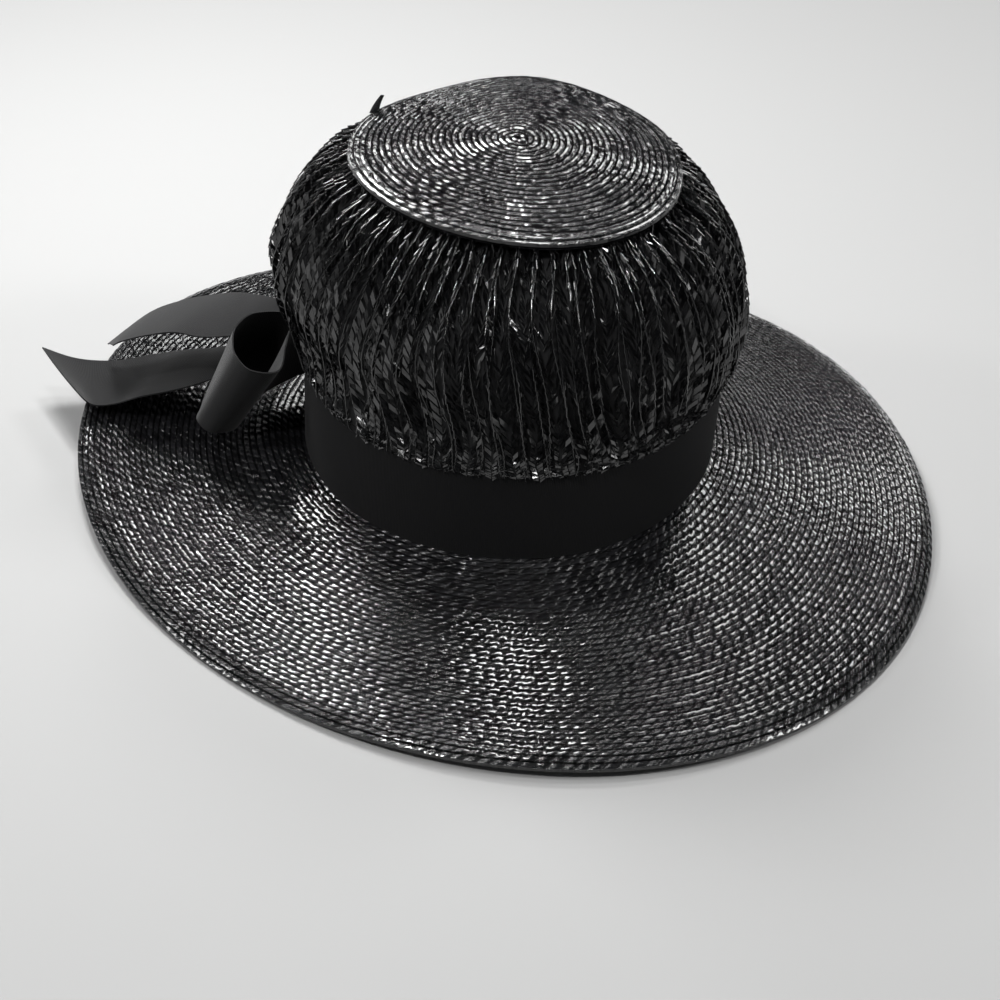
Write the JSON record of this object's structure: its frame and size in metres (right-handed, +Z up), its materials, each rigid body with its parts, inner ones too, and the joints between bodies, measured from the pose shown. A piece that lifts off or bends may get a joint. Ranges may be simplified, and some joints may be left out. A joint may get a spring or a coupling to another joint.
{
  "type": "wide-brim hat",
  "caption": "Wide-brim dress hat of glossy black sewn straw braid with a puffed gathered crown, a flat matt ribbon band and a side bow with one loop and two slanted tails.",
  "frame": {"origin": "middle of the hat's overall box in plan, at the height of the flat surface it rests on", "axes": "+Z up; -Y is the side of the hat towards the viewer, +X to the viewer's right; the bow is on the -X side"},
  "size_m": [0.4016, 0.372, 0.1693],
  "materials": {
    "brim_braid": "lacquered straw braid, glossy",
    "plaited_straw": "lacquered plaited straw, high gloss",
    "tip_braid": "lacquered straw braid, high gloss",
    "band_ribbon": "ribbed ribbon, matt",
    "bow_ribbon": "ribbed ribbon, matt"
  },
  "bodies": {
    "root": {"brim": "brim_braid", "crown_side": "plaited_straw", "crown_tip": "tip_braid", "hat_band": "band_ribbon", "bow_loop": "bow_ribbon", "bow_tail_upper": "bow_ribbon", "bow_tail_lower": "bow_ribbon", "bow_knot": "bow_ribbon"}
  },
  "joints": []
}
